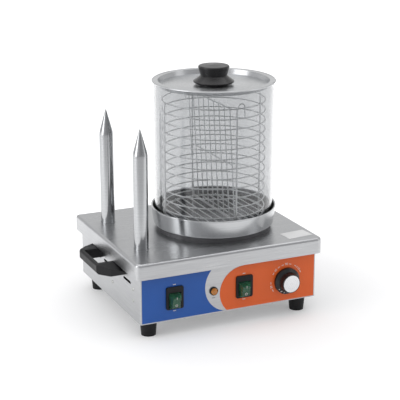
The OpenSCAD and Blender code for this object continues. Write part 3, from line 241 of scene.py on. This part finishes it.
def makeFilm(name, colour, deepColour):
    material, tree, shader, place = startMaterial(name)
    wave = addNode(tree, "ShaderNodeTexNoise", {"Vector": place, "Scale": filmSkin["wavesPerMetre"],
                                                "Detail": 1.0}).outputs[0]
    skin = addNode(tree, "ShaderNodeTexNoise", {"Vector": place, "Scale": filmSkin["grainsPerMetre"],
                                                "Detail": 2.0}).outputs[0]
    tint = addNode(tree, "ShaderNodeMix", {"Factor": wave, 6: linear(colour), 7: linear(deepColour)},
                   data_type="RGBA").outputs[2]
    low, high = filmSkin["roughness"]
    rough = addNode(tree, "ShaderNodeMapRange", {"Value": skin, **noiseBand, "To Min": low,
                                                 "To Max": high}).outputs[0]
    ripple = addNode(tree, "ShaderNodeBump", {"Height": wave, "Distance": filmSkin["waveDepth"],
                                              "Strength": 0.5}).outputs[0]
    peel = addNode(tree, "ShaderNodeBump", {"Height": skin, "Distance": filmSkin["grainDepth"],
                                            "Normal": ripple}).outputs[0]
    plug(tree, shader, {"Base Color": tint, "Roughness": rough, "IOR": 1.5, "Normal": peel})
    return material


# Borosilicate tube: clear and very smooth, a little grey, with faint draw lines upwards. The lamps pass it
# as a thin pane, so that what stands inside is lit.

tubeGlass = {
    "colour": "#D3D4D5", "lineColour": "#CECFD0", "lampTint": "#FDFDFD",
    "drawScale": (40, 40, 5), "drawDepth": 0.02 * mm,       # per metre: lines of some 25 by 200 mm
}


def makeTubeGlass(name, look):
    material, tree, shader, place = startMaterial(name)
    drawn = addNode(tree, "ShaderNodeMapping", {"Vector": place, "Scale": look["drawScale"]}).outputs[0]
    lines = addNode(tree, "ShaderNodeTexNoise", {"Vector": drawn, "Scale": 1.0, "Detail": 1.0}).outputs[0]
    tint = addNode(tree, "ShaderNodeMix", {"Factor": lines, 6: linear(look["colour"]),
                                           7: linear(look["lineColour"])}, data_type="RGBA").outputs[2]
    faint = addNode(tree, "ShaderNodeBump", {"Height": lines, "Distance": look["drawDepth"],
                                             "Strength": 0.3}).outputs[0]
    plug(tree, shader, {"Base Color": tint, "Roughness": 0.0, "IOR": 1.47, "Transmission Weight": 1.0,
                        "Normal": faint})
    pane = addNode(tree, "ShaderNodeBsdfTransparent", {"Color": linear(look["lampTint"])}).outputs[0]
    toLamp = addNode(tree, "ShaderNodeLightPath").outputs["Is Shadow Ray"]
    both = addNode(tree, "ShaderNodeMixShader", {0: toLamp, 1: shader.outputs[0], 2: pane}).outputs[0]
    plug(tree, tree.nodes["Material Output"], {"Surface": both})
    return material


def middle(name):
    low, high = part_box(name)
    return (low + high) / 2


# Finishes, each matched to its piece

steamerAxis = middle("glass_cylinder")

# Deck and case: the same sheet, the case rubbed a little duller by hands and cloths
deckSteel = makeSheetSteel("brushed stainless deck", {
    **sheetSteel, "roughness": (0.26, 0.33), "colour": "#BDBEBF", "lineColour": "#B3B4B6"})
caseSteel = makeSheetSteel("brushed stainless case", {
    **sheetSteel, "roughness": (0.30, 0.38), "colour": "#C0C1C2", "lineColour": "#B6B7B9"})

# Pan and lid: spun over a form, the pan bright and the lid with softer glints
panSteel = makeTurnedSteel("spun stainless pan", {**turnedSteel, "roughness": (0.16, 0.22)}, steamerAxis)
lidSteel = makeTurnedSteel("spun stainless lid", {**turnedSteel, "roughness": (0.24, 0.32)}, steamerAxis)

# Spikes: turned and polished bar, with sharp upright light bands on a darker ground
spikeSteel = {**turnedSteel, "colour": "#B9BABB", "ringColour": "#A9ABAD", "roughness": (0.11, 0.17)}
rearSpikeSteel = makeTurnedSteel("turned stainless, rear spike", spikeSteel, middle("spike_rear"))
frontSpikeSteel = makeTurnedSteel("turned stainless, front spike", spikeSteel, middle("spike_front"))

# Knob cap: aluminium faced off with a diamond, nearly white
capAluminium = makeTurnedSteel("diamond-cut aluminium cap", {
    **turnedSteel, "colour": "#E2E3E4", "ringColour": "#CFD0D2", "anisotropy": 0.85, "roughness": (0.14, 0.2),
}, middle("knob_cap"), (0, 1, 0))

# Basket wire: polished in a bath after welding, so pale and even, without hard glints
brightWire = makeSmallMetal("electropolished wire", {
    "colour": "#F6F7F8", "spotColour": "#ECEDEE", "spotSize": 0.8 * mm, "spotDepth": 0.004 * mm,
    "roughness": (0.36, 0.46)})

# Screws, nuts and rivets: zinc plate, a slightly warm grey
zincPlate = makeSmallMetal("zinc-plated steel", {
    "colour": "#BFC0BC", "spotColour": "#A6A8A6", "spotSize": 0.5 * mm, "spotDepth": 0.004 * mm,
    "roughness": (0.25, 0.4)})

# Hot plate: cast and ground, dark and matt
castPlate = makeSmallMetal("cast hot plate", {
    "colour": "#6E6E70", "spotColour": "#5A5A5C", "spotSize": 0.9 * mm, "spotDepth": 0.02 * mm,
    "roughness": (0.45, 0.6)})

# Heaters: a steel sheath that heat has turned brown in places
elementSheath = makeSmallMetal("oxidised heater sheath", {
    "colour": "#7B766F", "spotColour": "#5E5A55", "spotSize": 0.6 * mm, "spotDepth": 0.004 * mm,
    "roughness": (0.4, 0.55), "stain": "#5A4A3C"})

# Bulb and capillary: drawn copper, warm with a low shine
copperTube = makeSmallMetal("drawn copper", {
    "colour": "#B8805A", "spotColour": "#96623F", "spotSize": 0.8 * mm, "spotDepth": 0.003 * mm,
    "roughness": (0.25, 0.4)})

# Thermostat case: nickel plate, a plain mid grey
statCase = makeSmallMetal("nickel-plated switch case", {
    "colour": "#9A9B9C", "spotColour": "#838486", "spotSize": 0.7 * mm, "spotDepth": 0.003 * mm,
    "roughness": (0.3, 0.42)})

# Handles, frames and gland: glass-filled nylon, deep black and satin
blackNylon = makeMoulded("black nylon", {
    "colour": "#0D0D0F", "rubbedColour": "#19191B", "roughness": (0.42, 0.54), "gloss": 0.3})

# Knobs: phenolic from a polished mould, black with a soft shine
blackPhenolic = makeMoulded("polished phenolic", {
    "colour": "#121113", "rubbedColour": "#1D1C1E", "grainSize": 0.8 * mm, "grainDepth": 0.002 * mm,
    "roughness": (0.26, 0.36), "coat": 0.06, "gloss": 0.42})

# Feet: rubber, black and dull
blackRubber = makeMoulded("black rubber", {
    "colour": "#0E0E10", "rubbedColour": "#1C1C1E", "grainDepth": 0.012 * mm, "roughness": (0.5, 0.68),
    "gloss": 0.3})

# Rockers: tinted polycarbonate that glows a little from within
greenPolycarbonate = makeMoulded("green polycarbonate", {
    "colour": "#0B7348", "rubbedColour": "#107F52", "grainSize": 0.8 * mm, "grainDepth": 0.002 * mm,
    "roughness": (0.18, 0.26), "coat": 0.4, "glow": 0.2})

# Splash covers: soft clear vinyl with a green cast, slightly uneven
clearPvc = makeMoulded("clear soft PVC", {
    "colour": "#6FB898", "rubbedColour": "#7CC2A3", "grainSize": 1.2 * mm, "grainDepth": 0.008 * mm,
    "roughness": (0.1, 0.16), "seeThrough": 0.92, "gloss": 0.35})

# Pilot lens: amber polycarbonate, half see-through
amberPolycarbonate = makeMoulded("amber polycarbonate", {
    "colour": "#DE8A22", "rubbedColour": "#E6993A", "grainSize": 0.8 * mm, "grainDepth": 0.002 * mm,
    "roughness": (0.12, 0.2), "coat": 0.4, "seeThrough": 0.35, "glow": 0.2})

# Terminal block: natural nylon, an ivory white
whiteNylon = makeMoulded("white nylon", {
    "colour": "#E2DED4", "rubbedColour": "#EBE8E0", "grainDepth": 0.004 * mm, "roughness": (0.4, 0.5)})

# Wires: varnished glass-fibre sleeve, off-white and fuzzy
fibreSleeve = makeMoulded("glass-fibre sleeve", {
    "colour": "#D2CCBE", "rubbedColour": "#DFDACE", "grainSize": 0.4 * mm, "grainDepth": 0.03 * mm,
    "roughness": (0.6, 0.75)})

# Films, label and inks: flat printed colour, each with a slightly deeper second tone
blueFilm = makeFilm("blue polyester film", "#1459B0", "#1253A5")
orangeFilm = makeFilm("orange polyester film", "#EC651E", "#E4601C")
labelFilm = makeFilm("white label film", "#E6E6E5", "#E0E0E0")
whiteInk = makeFilm("white ink", "#E8E4DE", "#DFDBD4")
greyInk = makeFilm("grey ink", "#7C7E82", "#727478")
boroGlass = makeTubeGlass("borosilicate glass", tubeGlass)
print("materials made")

finishes = {
    "deck_tray": deckSteel, "housing": caseSteel, "bottom_cover": caseSteel,
    "water_pan": panSteel, "lid": lidSteel, "spike_rear": rearSpikeSteel, "spike_front": frontSpikeSteel,
    "blue_film": blueFilm, "orange_film": orangeFilm, "label_plate": labelFilm,
    "glass_cylinder": boroGlass, "hot_plate": castPlate, "heating_element": elementSheath,
    "spike_heater_rear": elementSheath, "spike_heater_front": elementSheath,
    "lid_knob": blackPhenolic, "thermostat_knob": blackPhenolic, "knob_cap": capAluminium,
    "handle_left": blackNylon, "handle_right": blackNylon, "lamp_bezel": blackNylon,
    "switch_body_left": blackNylon, "switch_body_right": blackNylon, "cable_gland": blackNylon,
    "gland_nut": blackNylon, "rocker_left": greenPolycarbonate, "rocker_right": greenPolycarbonate,
    "splash_cover_left": clearPvc, "splash_cover_right": clearPvc, "lamp_lens": amberPolycarbonate,
    "thermostat_body": statCase, "thermostat_bulb": copperTube, "capillary_tube": copperTube,
    "terminal_block": whiteNylon, "wiring": fibreSleeve,
    "foot_front_left": blackRubber, "foot_front_right": blackRubber,
    "foot_rear_left": blackRubber, "foot_rear_right": blackRubber,
    "basket_rings": brightWire, "basket_rods": brightWire, "basket_floor": brightWire,
    "basket_divider": brightWire,
}
for name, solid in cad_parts.items():
    solid.data.materials.clear()
    solid.data.materials.append(finishes.get(name, zincPlate))
print("materials laid on the solids")


# Printed marks and weld beads: small pieces that the solids leave out

frontward = Vector((0, -1, 0))
inkThickness = 0.08 * mm
letterSteps = 3     # points on each curve of a letter


def makePiece(name, meshes, finish, body):
    build = bmesh.new()
    for mesh in meshes:
        build.from_mesh(mesh)
    joined = bpy.data.meshes.new(name)
    build.to_mesh(joined)
    build.free()
    joined.materials.clear()
    joined.materials.append(finish)
    for face in joined.polygons:
        face.material_index = 0
    piece = bpy.data.objects.new(name, joined)
    scene.collection.objects.link(piece)
    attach(piece, body)
    return piece


def surfaceAt(nodeName, x, z):
    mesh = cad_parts[nodeName].data
    tree = BVHTree.FromPolygons([v.co for v in mesh.vertices], [p.vertices for p in mesh.polygons])
    spot, normal, _, _ = tree.ray_cast(Vector((x, 0, z)) + frontward, -frontward)
    return spot, normal


def standOn(spot, normal):
    right = Vector((1, 0, 0))
    up = normal.cross(right).normalized()
    right = up.cross(normal).normalized()
    turned = Matrix((right, up, normal)).transposed().to_4x4()
    return Matrix.Translation(spot) @ turned


def wordMesh(words, size, thick, place):
    curve = bpy.data.curves.new(words, "FONT")
    curve.body = words
    curve.size = size
    curve.extrude = thick / 2
    curve.align_x = "CENTER"
    curve.align_y = "CENTER"
    curve.resolution_u = letterSteps
    carrier = bpy.data.objects.new(words, curve)
    scene.collection.objects.link(carrier)
    seen = bpy.context.evaluated_depsgraph_get()
    mesh = bpy.data.meshes.new_from_object(carrier.evaluated_get(seen))
    bpy.data.objects.remove(carrier)
    mesh.transform(Matrix.Translation((0, 0, thick / 2)))
    mesh.transform(place)
    return mesh


def barMesh(width, height, thick, place):
    build = bmesh.new()
    bmesh.ops.create_cube(build, size=1)
    bmesh.ops.scale(build, verts=build.verts, vec=(width, height, thick))
    bmesh.ops.translate(build, verts=build.verts, vec=(0, 0, thick / 2))
    bmesh.ops.transform(build, verts=build.verts, matrix=place)
    mesh = bpy.data.meshes.new("bar")
    build.to_mesh(mesh)
    build.free()
    return mesh


# Dial scale: temperatures and short bars round the knob, printed on the orange film

dialScale = {
    "numbers": ("30", "60", "90", "110"),
    "numberAngles": (196, 134, 90, 40), "barReach": 14,     # degrees: from the right, and on to the two bars
    "numberHeight": 5.4 * mm, "radius": 28.6 * mm,
    "barLength": 4.2 * mm, "barWidth": 1.0 * mm,
}
dialMiddle = middle("thermostat_knob")
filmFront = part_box("orange_film")[0].y
marks = []
for words, angle in zip(dialScale["numbers"], dialScale["numberAngles"]):
    for turn in (-dialScale["barReach"], 0, dialScale["barReach"]):
        around = math.radians(angle + turn)
        spot = Vector((dialMiddle.x + dialScale["radius"] * math.cos(around), filmFront,
                       dialMiddle.z + dialScale["radius"] * math.sin(around)))
        place = standOn(spot, frontward) @ Matrix.Rotation(around - math.pi / 2, 4, "Z")
        if turn:
            marks.append(barMesh(dialScale["barLength"], dialScale["barWidth"], inkThickness, place))
        else:
            marks.append(wordMesh(words, dialScale["numberHeight"], inkThickness, place))
makePiece("dialScale", marks, whiteInk, "root")

# Switch marks: I and O on each cover, a bar over and under each frame

switchMarks = {
    "letterHeight": 6.2 * mm, "letterRise": 6.4 * mm,       # the I as far over the middle as the O under it
    "barWidth": 5 * mm, "barHeight": 1.1 * mm, "gap": 3.4 * mm,
}
for side in ("left", "right"):
    low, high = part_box("splash_cover_" + side)
    centre = (low + high) / 2
    letters = []
    for words, rise in (("I", switchMarks["letterRise"]), ("O", -switchMarks["letterRise"])):
        spot, normal = surfaceAt("splash_cover_" + side, centre.x, centre.z + rise)
        letters.append(wordMesh(words, switchMarks["letterHeight"], inkThickness, standOn(spot, normal)))
    makePiece("rockerLetters_" + side, letters, whiteInk, side + "_rocker")
    low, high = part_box("switch_body_" + side)
    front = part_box("blue_film" if side == "left" else "orange_film")[0].y
    bars = [barMesh(switchMarks["barWidth"], switchMarks["barHeight"], inkThickness,
                    standOn(Vector((centre.x, front, z)), frontward))
            for z in (high.z + switchMarks["gap"], low.z - switchMarks["gap"])]
    makePiece("switchBars_" + side, bars, whiteInk, "root")

# Lamp mark: one bar under the pilot lamp, on the bare steel

lampMark = {"width": 6 * mm, "height": 1.2 * mm, "drop": 4.5 * mm, "filmThickness": 0.25 * mm}
low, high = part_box("lamp_bezel")
spot = Vector(((low.x + high.x) / 2, filmFront + lampMark["filmThickness"], low.z - lampMark["drop"]))
bar = barMesh(lampMark["width"], lampMark["height"], inkThickness, standOn(spot, frontward))
makePiece("lampMark", [bar], greyInk, "root")

# Knob pointer: a line on the skirt at the knob's off position and a dot on each side of it

knobPointer = {
    "angle": 232, "dotTurn": 17,        # degrees: from the right, and on to the two dots
    "radius": 19.8 * mm, "length": 3.4 * mm, "dotLength": 1.6 * mm, "width": 1.2 * mm,
}
pointer = []
for turn, length in ((-knobPointer["dotTurn"], knobPointer["dotLength"]), (0, knobPointer["length"]),
                     (knobPointer["dotTurn"], knobPointer["dotLength"])):
    around = math.radians(knobPointer["angle"] + turn)
    spot, normal = surfaceAt("thermostat_knob", dialMiddle.x + knobPointer["radius"] * math.cos(around),
                             dialMiddle.z + knobPointer["radius"] * math.sin(around))
    place = standOn(spot, normal) @ Matrix.Rotation(around - math.pi / 2, 4, "Z")
    pointer.append(barMesh(knobPointer["width"], length, inkThickness, place))
makePiece("knobPointer", pointer, whiteInk, "heat_dial")
print("marks made")


# Weld beads: one on each crossing of a basket ring and an upright rod

weldBeads = {"rings": 12, "rods": 4, "beadRadius": 1.7 * mm, "beadSteps": 2, "ringRadius": 87 * mm,
             "wireRadius": 1 * mm}


def beadTree():
    tree = bpy.data.node_groups.new("weld beads", "GeometryNodeTree")
    face = tree.interface
    face.new_socket("Geometry", in_out="OUTPUT", socket_type="NodeSocketGeometry")
    for label in ("Rings", "Rods", "Bead Steps"):
        face.new_socket(label, in_out="INPUT", socket_type="NodeSocketInt")
    for label in ("Ring Radius", "Bead Radius", "Low", "Pitch"):
        face.new_socket(label, in_out="INPUT", socket_type="NodeSocketFloat")
    face.new_socket("Centre", in_out="INPUT", socket_type="NodeSocketVector")
    face.new_socket("Finish", in_out="INPUT", socket_type="NodeSocketMaterial")
    given = addNode(tree, "NodeGroupInput").outputs
    crossings = addNode(tree, "GeometryNodeMeshCircle", {"Vertices": given["Rods"],
                                                         "Radius": given["Ring Radius"]})
    step = addNode(tree, "ShaderNodeCombineXYZ", {2: given["Pitch"]}).outputs[0]
    foot = addNode(tree, "ShaderNodeCombineXYZ", {2: given["Low"]}).outputs[0]
    start = addNode(tree, "ShaderNodeVectorMath", {0: given["Centre"], 1: foot}, operation="ADD").outputs[0]
    levels = addNode(tree, "GeometryNodeMeshLine", {"Count": given["Rings"], "Start Location": start,
                                                    "Offset": step})
    stacked = addNode(tree, "GeometryNodeInstanceOnPoints", {"Points": levels.outputs[0],
                                                             "Instance": crossings.outputs[0]}).outputs[0]
    points = addNode(tree, "GeometryNodeRealizeInstances", {0: stacked}).outputs[0]
    bead = addNode(tree, "GeometryNodeMeshIcoSphere", {"Radius": given["Bead Radius"],
                                                       "Subdivisions": given["Bead Steps"]}).outputs[0]
    beads = addNode(tree, "GeometryNodeInstanceOnPoints", {"Points": points, "Instance": bead}).outputs[0]
    solid = addNode(tree, "GeometryNodeRealizeInstances", {0: beads}).outputs[0]
    dressed = addNode(tree, "GeometryNodeSetMaterial", {"Geometry": solid,
                                                        "Material": given["Finish"]}).outputs[0]
    addNode(tree, "NodeGroupOutput", {0: dressed})
    return tree


def growMesh(tree, values):
    carrier = bpy.data.objects.new(tree.name, bpy.data.meshes.new(tree.name))
    scene.collection.objects.link(carrier)
    modifier = carrier.modifiers.new("grow", "NODES")
    modifier.node_group = tree
    sockets = {item.name: item.identifier for item in tree.interface.items_tree if item.in_out == "INPUT"}
    for label, value in values.items():
        modifier[sockets[label]] = value
    seen = bpy.context.evaluated_depsgraph_get()
    mesh = bpy.data.meshes.new_from_object(carrier.evaluated_get(seen))
    bpy.data.objects.remove(carrier)
    return mesh


low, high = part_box("basket_rings")
lowest, highest = low.z + weldBeads["wireRadius"], high.z - weldBeads["wireRadius"]
beadMesh = growMesh(beadTree(), {
    "Rings": weldBeads["rings"], "Rods": weldBeads["rods"], "Bead Steps": weldBeads["beadSteps"],
    "Ring Radius": weldBeads["ringRadius"], "Bead Radius": weldBeads["beadRadius"],
    "Low": lowest, "Pitch": (highest - lowest) / (weldBeads["rings"] - 1),
    "Centre": (steamerAxis.x, steamerAxis.y, 0), "Finish": brightWire})
makePiece("weldBeads", [beadMesh], brightWire, "basket")
print("weld beads made:", len(beadMesh.vertices), "points")


# Studio: a pale paper floor, a room that is lighter behind the machine, and three soft lamps

studio = {
    "paper": "#E6E6E6", "glowColour": "#FFFFFF", "paperReach": 8,
    # The paper glows more from near the machine outwards, and not at all far before it, out of view: metres
    "nearGlow": 0.22, "farGlow": 0.56, "nearRadius": 0.24, "farRadius": 0.66,
    "frontStart": 0.42, "frontEnd": 0.80, "towardsCamera": (-0.413, -0.911, 0),
    # Walls by direction: degrees from the right, turning to the back
    "walls": ((-180, "#CECED0"), (-146, "#F0F0F2"), (-114, "#BABABC"), (-84, "#B0B0B2"), (-50, "#C6C6C8"),
              (66, "#FAFAFA"), (150, "#E2E2E4"), (180, "#CECED0")),
    "ceiling": "#E2E2E4", "wallTop": 0.45, "ceilingFrom": 0.9,      # upward part of the direction
    "roomStrength": 0.88,
    "lamps": (
        # name, place, aim, width and height, brightness
        ("leftSoftbox", (-1.50, -0.04, 0.78), (0, 0, 0.70), (0.90, 1.40), 2.3),
        ("rightSoftbox", (1.36, -0.88, 0.78), (0, 0, 0.60), (0.60, 1.20), 0.6),
        ("topSoftbox", (0.10, 0.10, 2.20), (0, 0, 0.20), (2.80, 2.80), 0.92),
    ),
}
for name, place, aim, size, brightness in studio["lamps"]:
    lamp = bpy.data.lights.new(name, "AREA")
    lamp.shape = "RECTANGLE"
    lamp.size, lamp.size_y = size
    lamp.energy = brightness * math.pi * size[0] * size[1]
    holder = bpy.data.objects.new(name, lamp)
    holder.location = place
    holder.rotation_euler = (Vector(aim) - Vector(place)).to_track_quat("-Z", "Y").to_euler()
    scene.collection.objects.link(holder)

build = bmesh.new()
bmesh.ops.create_grid(build, x_segments=1, y_segments=1, size=studio["paperReach"])
floorMesh = bpy.data.meshes.new("studioFloor")
build.to_mesh(floorMesh)
build.free()
floor = bpy.data.objects.new("studioFloor", floorMesh)
scene.collection.objects.link(floor)
paper, tree, shader, place = startMaterial("matt white paper")
rays = addNode(tree, "ShaderNodeLightPath").outputs
looked = addNode(tree, "ShaderNodeMath", {0: rays["Is Camera Ray"], 1: rays["Is Glossy Ray"]},
                 operation="MAXIMUM").outputs[0]
seen = addNode(tree, "ShaderNodeMath", {0: looked, 1: rays["Is Transmission Ray"]},
               operation="MAXIMUM").outputs[0]
away = addNode(tree, "ShaderNodeVectorMath", {0: place}, operation="LENGTH").outputs["Value"]
glow = addNode(tree, "ShaderNodeMapRange", {
    "Value": away, "From Min": studio["nearRadius"], "From Max": studio["farRadius"],
    "To Min": studio["nearGlow"], "To Max": studio["farGlow"]}, interpolation_type="SMOOTHSTEP").outputs[0]
forward = addNode(tree, "ShaderNodeVectorMath", {0: place, 1: studio["towardsCamera"]},
                  operation="DOT_PRODUCT").outputs["Value"]
behind = addNode(tree, "ShaderNodeMapRange", {
    "Value": forward, "From Min": studio["frontStart"], "From Max": studio["frontEnd"],
    "To Min": 1.0, "To Max": 0.0}, interpolation_type="SMOOTHSTEP").outputs[0]
kept = addNode(tree, "ShaderNodeMath", {0: glow, 1: behind}, operation="MULTIPLY").outputs[0]
shown = addNode(tree, "ShaderNodeMath", {0: seen, 1: kept}, operation="MULTIPLY").outputs[0]
plug(tree, shader, {"Base Color": linear(studio["paper"]), "Roughness": 0.9, "Specular IOR Level": 0.1,
                    "Emission Color": linear(studio["glowColour"]), "Emission Strength": shown})
floorMesh.materials.append(paper)

world = bpy.data.worlds.new("room")
world.use_nodes = True
scene.world = world
room = world.node_tree
way = addNode(room, "ShaderNodeTexCoord").outputs["Generated"]
parts = addNode(room, "ShaderNodeSeparateXYZ", {0: way}).outputs
turn = addNode(room, "ShaderNodeMath", {0: parts[1], 1: parts[0]}, operation="ARCTAN2").outputs[0]
share = addNode(room, "ShaderNodeMapRange", {"Value": turn, "From Min": -math.pi,
                                             "From Max": math.pi}).outputs[0]
walls = addNode(room, "ShaderNodeValToRGB", {0: share})
stops = walls.color_ramp.elements
stops[0].color = linear(studio["walls"][0][1])
stops[-1].color = linear(studio["walls"][-1][1])
for degrees, colour in studio["walls"][1:-1]:
    stops.new((degrees + 180) / 360).color = linear(colour)
rise = addNode(room, "ShaderNodeMapRange", {
    "Value": parts[2], "From Min": studio["wallTop"], "From Max": studio["ceilingFrom"],
}, interpolation_type="SMOOTHSTEP").outputs[0]
cover = addNode(room, "ShaderNodeMix", {"Factor": rise, 6: walls.outputs[0], 7: linear(studio["ceiling"])},
                data_type="RGBA").outputs[2]
plug(room, room.nodes["Background"], {"Color": cover, "Strength": studio["roomStrength"]})

# Camera: a long lens from the front left, a little above the machine

photoCamera = {
    "lens": 113.8, "sensorWidth": 36,       # millimetres
    "place": (-0.84279, -1.87375, 0.80696), "view": (0.39535, 0.87053, -0.29304), "reach": 40,
}
camera = bpy.data.cameras.new("photoCamera")
camera.lens = photoCamera["lens"]
camera.sensor_width = photoCamera["sensorWidth"]
camera.clip_end = photoCamera["reach"]
eye = bpy.data.objects.new("photoCamera", camera)
eye.location = photoCamera["place"]
eye.rotation_euler = Vector(photoCamera["view"]).to_track_quat("-Z", "Y").to_euler()
scene.collection.objects.link(eye)
scene.camera = eye
scene.view_settings.view_transform = "Standard"
print("studio ready")
